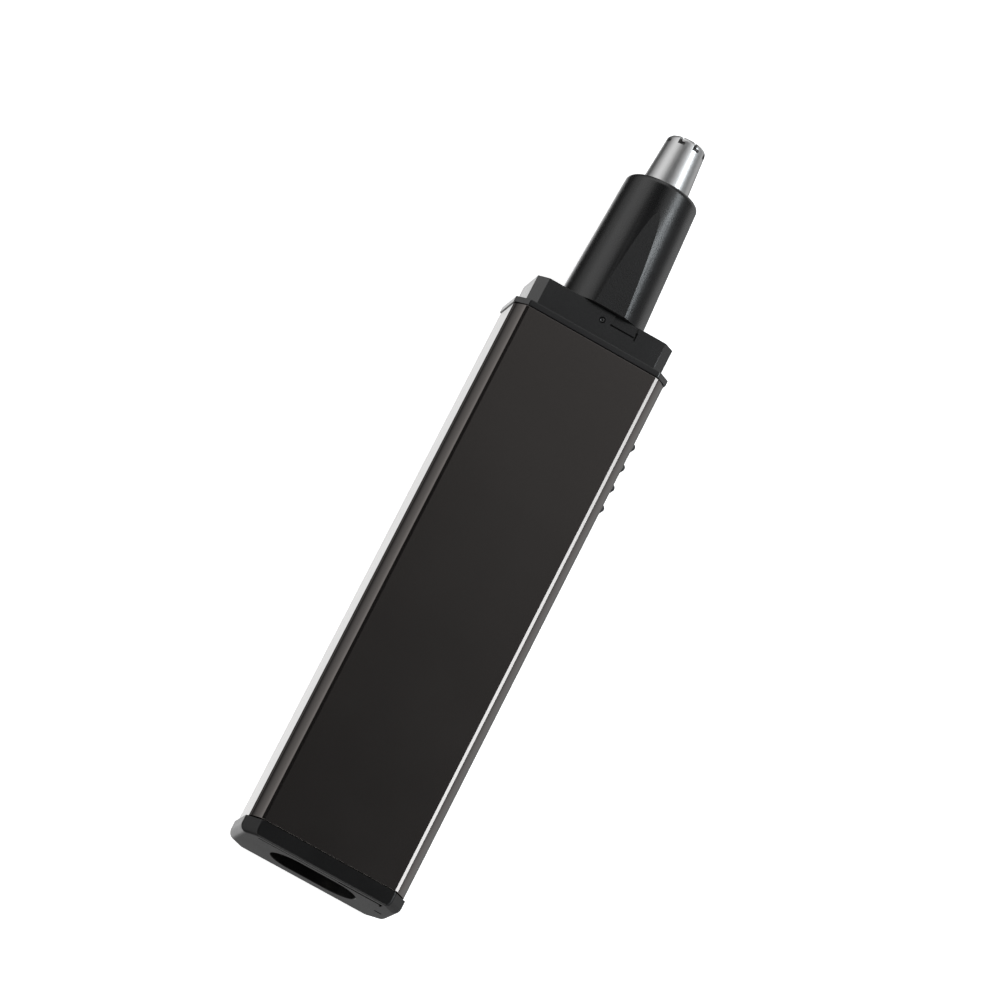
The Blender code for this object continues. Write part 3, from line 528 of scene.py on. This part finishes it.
def turned(profile, steps=TURN_STEPS, x=0.0, z=None):
    """Turn (radius, y) points about a line along Y, with poles where the radius is 0."""
    z = AXIS_Z if z is None else z
    bm = bmesh.new()
    points = [bm.verts.new((x + radius, y, z)) for radius, y in profile]
    edges = [bm.edges.new(pair) for pair in zip(points, points[1:])]
    if profile[0][0] > 0:
        edges.append(bm.edges.new((points[-1], points[0])))
    bmesh.ops.spin(bm, geom=points + edges, angle=2 * math.pi, steps=steps, axis=(0, 1, 0),
                   cent=(x, 0, z))
    bmesh.ops.remove_doubles(bm, verts=bm.verts, dist=1e-4)
    return bm


def quarter(centre_radius, centre_y, radius, start, end, steps=8):
    """Arc of a turned profile, in degrees from +radius towards +y."""
    angles = [math.radians(start + (end - start) * k / steps) for k in range(steps + 1)]
    return [(centre_radius + radius * math.cos(a), centre_y + radius * math.sin(a)) for a in angles]


def block(x, y, z, radius=0.0, axis="X"):
    """Box from (low, high) pairs, with the edges along one axis rounded."""
    spans = {"X": (y, z), "Y": (x, z), "Z": (x, y)}[axis]
    along = {"X": x, "Y": y, "Z": z}[axis]
    (a0, a1), (b0, b1) = spans
    corners = [(a1, b0), (a1, b1), (a0, b1), (a0, b0)]
    outline = rounded(corners, radius) if radius else corners
    bm = bmesh.new()
    rings = []
    for level in along:
        ring = []
        for a, b in outline:
            position = {"X": (level, a, b), "Y": (a, level, b), "Z": (a, b, level)}[axis]
            ring.append(bm.verts.new(position))
        rings.append(ring)
    for i in range(len(outline)):
        j = (i + 1) % len(outline)
        bm.faces.new((rings[0][i], rings[0][j], rings[1][j], rings[1][i]))
    bm.faces.new(rings[0])
    bm.faces.new(reversed(rings[1]))
    return bm


def stadium(half_length, radius, centre_z, steps=24):
    """Slot outline with round ends along X."""
    shift = half_length - radius
    right = [(shift + radius * math.cos(a), centre_z + radius * math.sin(a))
             for a in (math.pi * (k / steps - 0.5) for k in range(steps + 1))]
    return right + [(-x, 2 * centre_z - z) for x, z in right]


# ---------------------------------------------------------------- pieces

def make_sleeve():
    """Octagonal tube with softly broken edges and the switch window in its right side."""
    edge = 0.12
    start, end = SLEEVE_LOW.y, SLEEVE_HIGH.y
    section = sleeve_section()
    inner = shrink(section, WALL)
    closing = []
    for turn in range(0, 91, 15):
        a = math.radians(turn)
        outline = shrink(section, edge * (1 - math.sin(a)))
        closing.append((edge * (1 - math.cos(a)), outline))
    sections = [(start + step, outline) for step, outline in closing]
    sections += [(end - step, outline) for step, outline in reversed(closing)]
    bm = skin(bmesh.new(), sections + [(end, inner), (start, inner)], closed=True)
    sleeve = add_mesh("sleeve_shell", bm)
    travel = 4.0
    half_height = 2.3
    window = block((HALF_WIDTH - 2 * WALL, HALF_WIDTH + 1),
                   (SLIDER_LOW.y + travel + GAP, SLIDER_HIGH.y - GAP),
                   (AXIS_Z - half_height, AXIS_Z + half_height), radius=0.8)
    combine(sleeve, add_mesh("tool", window))
    steady_flats(sleeve)
    finish_piece(sleeve, "body", "sleeve_metal", "sleeve")


def make_cap():
    """End cap with rounded sides, the oval recess and the fine mould lines on its underside."""
    shelf = SLEEVE_LOW.y - 0.1
    body = octagon(HALF_WIDTH, HALF_FLAT, 0.0, DEPTH, DROP)
    plug = rounded(shrink(body, WALL + GAP), 0.3)
    corner = 0.6
    bevel = 0.25
    curve = 1.4
    sections = []
    for y in (0.0, 0.08, 0.16, bevel, 0.4, 0.6, 0.85, 1.1, curve):
        side = curve * (1 - math.sqrt(1 - (1 - y / curve) ** 2))
        front = max(bevel - y, 0.0)
        corners = octagon(HALF_WIDTH + OVERHANG - side, HALF_FLAT + 0.2 - 0.6 * side, front,
                          DEPTH - front, DROP + 0.1 - 0.4 * side)
        sections.append((y, rounded(corners, corner)))
    sections += [(shelf - 0.1, sections[-1][1]), (shelf, rounded(body, corner)),
                 (shelf, plug), (CAP_HIGH.y, plug)]
    cap = add_mesh("cap_shell", skin(bmesh.new(), sections))
    combine(cap, add_mesh("tool", recess_tool()))
    # (x, z) of the line beside the front edge, its wider part, its hook and a short mark
    grooves = [((-11.8, 11.9), (13.6, 14.0)), ((3.5, 11.9), (13.2, 14.0)),
               ((11.5, 11.9), (12.2, 14.0)), ((12.0, 13.4), (6.8, 7.4))]
    groove_depth = 0.9
    for x, z in grooves:
        combine(cap, add_mesh("tool", block(x, (-0.5, groove_depth), z)))
    steady_flats(cap)
    finish_piece(cap, "body", "cap_plastic", "end_cap")


def recess_tool():
    """Tool for the oval recess, with a small lip at its mouth."""
    half_length = 8.1
    radius = 4.65
    lip = 0.06
    centre = (PIN_LOW.z + PIN_HIGH.z) / 2
    mouth = [(-0.5, 2 * lip), (0.0, lip), (lip, 0.0), (CAP_HIGH.y + 1, 0.0)]
    return skin(bmesh.new(), [(y, stadium(half_length + wider, radius + wider, centre))
                              for y, wider in mouth])


def make_inlet():
    """The recess's two pins, with domed tips and thinner tails for their leads."""
    centre = (PIN_LOW.z + PIN_HIGH.z) / 2
    dome = 0.6
    tail = 1.2
    tail_radius = 0.5
    for word in ("left", "right"):
        low, high = span(f"inlet_pin_{word}")
        radius = (high.x - low.x) / 2
        tip = quarter(radius - dome, low.y + dome, dome, -90, 0)
        profile = [(0.0, low.y)] + tip
        profile += [(radius, high.y - tail), (tail_radius, high.y - tail),
                    (tail_radius, high.y), (0.0, high.y)]
        pin = add_mesh(f"recess_pin_{word}", turned(profile, 48, x=(low.x + high.x) / 2, z=centre))
        finish_piece(pin, "body", "pin_metal", f"inlet_pin_{word}")


def rim_sections(start, end):
    """Rounded rim between the sleeve and the platform."""
    edge = 0.12
    sections = []
    for centre, turns in ((start + edge, (0, 30, 60, 90)), (end - edge, (90, 120, 150, 180))):
        for turn in turns:
            a = math.radians(turn)
            inset = edge * (1 - math.sin(a))
            corners = octagon(HALF_WIDTH + 0.2 - inset, HALF_FLAT + 0.2 - inset / 2,
                              0.1 + inset * 0.4, DEPTH - inset * 0.6, DROP - 0.3)
            sections.append((centre - edge * math.cos(a), rounded(corners, 0.5)))
    return sections


def platform_sections(start, end):
    """Platform that rises from the rim in a fillet and ends in a fine bevel."""
    fillet = 0.12
    corner = 0.18
    sections = []
    for turn in (0, 22.5, 45, 67.5, 90):
        a = math.radians(turn)
        out = fillet * (1 - math.sin(a))
        corners = octagon(PLATFORM_HALF_WIDTH + out * 0.8, PLATFORM_HALF_FLAT + out * 0.6,
                          PLATFORM_BACK - out * 0.3, PLATFORM_FRONT + out * 0.4, PLATFORM_DROP)
        sections.append((start + fillet * (1 - math.cos(a)), rounded(corners, corner)))
    for inset, before_end in ((0.0, 0.06), (0.02, 0.02), (0.06, 0.0)):
        corners = octagon(PLATFORM_HALF_WIDTH - inset, PLATFORM_HALF_FLAT - inset * 0.6,
                          PLATFORM_BACK + inset, PLATFORM_FRONT - inset, PLATFORM_DROP)
        sections.append((end - before_end, rounded(corners, corner)))
    return sections


def make_housing():
    """Shoulder: insert, rim, platform, bored neck, index slot and dimple."""
    start = HOUSING_LOW.y
    rim_start = SLEEVE_HIGH.y + 0.12
    rim_end = SLEEVE_HIGH.y + GAP + 0.9
    platform_end = COLLAR_LOW.y - GAP
    insert = rounded(octagon(10.8, 10.2, 1.3, 13.7, 0.6), 0.2)
    sections = [(start, insert), (rim_start, insert)]
    sections += rim_sections(rim_start, rim_end) + platform_sections(rim_end, platform_end)
    housing = add_mesh("shoulder_shell", skin(bmesh.new(), sections))
    end = HOUSING_HIGH.y
    neck_radius = 4.6
    break_edge = 0.3
    neck = [(0.0, platform_end - 1), (neck_radius, platform_end - 1),
            (neck_radius, end - break_edge), (neck_radius - break_edge, end), (0.0, end)]
    combine(housing, add_mesh("tool", turned(neck, 96)), "UNION")
    bore_radius = 3.6
    bore = [(0.0, start - 1), (bore_radius, start - 1), (bore_radius, end + 1), (0.0, end + 1)]
    combine(housing, add_mesh("tool", turned(bore, 96)))
    # Index slot: a shallow pocket open at the platform's end, a fine line and a step at its border
    above = DEPTH + 2
    marks = [((1.6, 6.2), (107.4, platform_end + 1), (14.15, above)),
             ((1.4, 6.3), (107.2, 107.55), (13.7, above)),
             ((6.1, 6.4), (106.8, 108.4), (13.7, above))]
    for x, y, z in marks:
        combine(housing, add_mesh("tool", block(x, y, z, radius=0.1, axis="Z")))
    dimple = bmesh.new()
    bmesh.ops.create_uvsphere(dimple, u_segments=32, v_segments=16, radius=0.6,
                              matrix=Matrix.Translation((-0.2, 107.4, 14.5)))
    combine(housing, add_mesh("tool", dimple))
    steady_flats(housing)
    finish_piece(housing, "body", "housing_plastic", "top_housing")


def make_collar():
    """Slightly conical collar with a rounded rim, a stepped bore and two lock slots in its foot."""
    base = 7.95
    top = 6.8
    rim = 1.1
    foot_edge = 0.05
    start, end = COLLAR_LOW.y, COLLAR_HIGH.y
    foot = start - 0.24
    mouth = 4.6
    bore = 5.5
    skirt = 6.2
    seat = 129.5
    step = 114.4
    profile = quarter(base - foot_edge, foot + foot_edge, foot_edge, -90, 0, 4)
    profile += quarter(top - rim, end - rim, rim, 0, 90, 12)
    profile += [(mouth + 0.15, end), (mouth, end - 0.15), (mouth, seat), (bore, seat),
                (bore, step), (skirt, step), (skirt, foot)]
    collar = add_mesh("collar_shell", turned(profile))
    for side in (-1, 1):
        x = sorted((side * 5.6, side * 6.8))
        tool = block(x, (start - 1, start + 4.0), (AXIS_Z - 1.3, AXIS_Z + 1.3))
        combine(collar, add_mesh("tool", tool))
    cut_flat(collar, start)
    finish_piece(collar, "head", "collar_soft_touch", "head_collar")


def cut_flat(collar, start):
    """Cut the front flat, which leans in towards the cutter and so narrows to a point."""
    low = 7.4
    high = 7.05
    rise = 18.0
    tilt = -math.atan((low - high) / rise)
    bm = block((-6, 6), (-3.0, rise + 12.0), (0.0, 4.0))
    turn = Matrix.Translation((0, start, AXIS_Z + low)) @ Matrix.Rotation(tilt, 4, "X")
    bmesh.ops.transform(bm, matrix=turn, verts=bm.verts)
    combine(collar, add_mesh("tool", bm))
    mark_flat(collar, Vector((0, -math.sin(tilt), math.cos(tilt))))


def mark_flat(obj, facing):
    """Sharpen the border of the faces that point one way, so a shallow flat keeps its edge."""
    mesh = obj.data
    flats = {p.index for p in mesh.polygons if p.normal.dot(facing) > 0.99999}
    borders = {}
    for polygon in mesh.polygons:
        for key in polygon.edge_keys:
            borders.setdefault(key, []).append(polygon.index in flats)
    for edge in mesh.edges:
        sides = borders.get(tuple(sorted(edge.vertices)), [])
        if len(sides) == 2 and sides[0] != sides[1]:
            edge.use_edge_sharp = True


def slit_tool(angle, top):
    """Tool for one slit: over the rim, down the side and round into a small hook."""
    half = 0.3
    depth = 1.6
    hook = 0.95
    hook_breadth = 0.55
    floor = top - depth
    outline = [(top + 0.5, -half), (top + 0.5, half), (floor, half), (floor, -hook),
               (floor + hook_breadth, -hook), (floor + hook_breadth, -half)]
    bm = bmesh.new()
    near, far = [[bm.verts.new((x, y, z)) for y, z in outline] for x in (1.5, 5.0)]
    for i in range(len(outline)):
        j = (i + 1) % len(outline)
        bm.faces.new((near[i], near[j], far[j], far[i]))
    bm.faces.new(near)
    bm.faces.new(reversed(far))
    turn = Matrix.Translation((0, 0, AXIS_Z)) @ Matrix.Rotation(math.radians(angle), 4, "Y")
    bmesh.ops.transform(bm, matrix=turn, verts=bm.verts)
    return bm


def make_cutter():
    """Steel cup with a flange under the collar and hooked slits over its rounded rim."""
    top = CUTTER_HIGH.y
    base = 4.3
    crown = 3.65
    rim = 0.9
    wall = 0.4
    flange = 5.1
    shelf = 129.2
    flange_foot = shelf - 0.8
    profile = [(0.0, top)] + list(reversed(quarter(crown - rim, top - rim, rim, 0, 90, 10)))
    profile += [(base, COLLAR_HIGH.y), (base, shelf), (flange, shelf), (flange, flange_foot),
                (base - wall, flange_foot), (base - wall, COLLAR_HIGH.y)]
    profile += quarter(crown - rim, top - rim, rim - wall, 0, 90, 6) + [(0.0, top - wall)]
    cutter = add_mesh("cutter_cup", turned(profile))
    slits = 8
    first = 14.5
    for k in range(slits):
        combine(cutter, add_mesh("tool", slit_tool(first + 360 / slits * k, top)))
    finish_piece(cutter, "head", "cutter_steel", "outer_cutter")


def make_switch():
    """Slider plate, thumb pad with four rounded grip ribs, and two prongs round the lever."""
    low, high = SLIDER_LOW, SLIDER_HIGH
    plate = block((12.4, 13.6), (low.y, high.y), (AXIS_Z - 3.2, AXIS_Z + 3.2), radius=0.5)
    slider = add_mesh("switch_pad", plate)
    middle = 85.6
    half = 8.1
    pad = block((12.8, HALF_WIDTH - 0.1), (middle - half, middle + half), (AXIS_Z - 2, AXIS_Z + 2),
                radius=0.6)
    combine(slider, add_mesh("tool", pad), "UNION")
    ribs = 4
    pitch = 4.05
    for k in range(ribs):
        add_rib(slider, middle + (k - (ribs - 1) / 2) * pitch)
    prong = (AXIS_Z - 0.9, AXIS_Z + 0.9)
    lever_low, lever_high = span("switch_lever")
    for y in ((lever_low.y - GAP - 1, lever_low.y - GAP),
              (lever_high.y + GAP, lever_high.y + GAP + 1)):
        combine(slider, add_mesh("tool", block((11.4, 12.8), y, prong)), "UNION")
    finish_piece(slider, "switch", "switch_plastic", "switch_slider")


def add_rib(slider, y):
    """One grip rib across the pad: a bar with balled ends."""
    radius = 0.75
    x = SLIDER_HIGH.x - radius
    bar = bmesh.new()
    bmesh.ops.create_cone(bar, segments=32, radius1=radius, radius2=radius, depth=3.0,
                          cap_ends=True, matrix=Matrix.Translation((x, y, AXIS_Z)))
    combine(slider, add_mesh("tool", bar), "UNION")
    for side in (-1, 1):
        ball = bmesh.new()
        place = Matrix.Translation((x, y, AXIS_Z + side * 1.1))
        bmesh.ops.create_uvsphere(ball, u_segments=24, v_segments=12, radius=radius - 0.01,
                                  matrix=place)
        combine(slider, add_mesh("tool", ball), "UNION")


def paint_frame_nodes():
    """Procedural finishes for every CAD node that stays."""
    slots = {part["node"]: part["material_slot"] for part in frame["record"]["subparts"]}
    for name, obj in frame["nodes"].items():
        obj.data.materials.clear()
        obj.data.materials.append(FINISHES[slots[name]])


FINISHES = make_finishes()
bpy.context.scene.view_settings.view_transform = "Standard"
make_camera()
make_lights()
make_floor()
paint_frame_nodes()
make_sleeve()
make_cap()
make_inlet()
make_housing()
make_collar()
make_cutter()
make_switch()
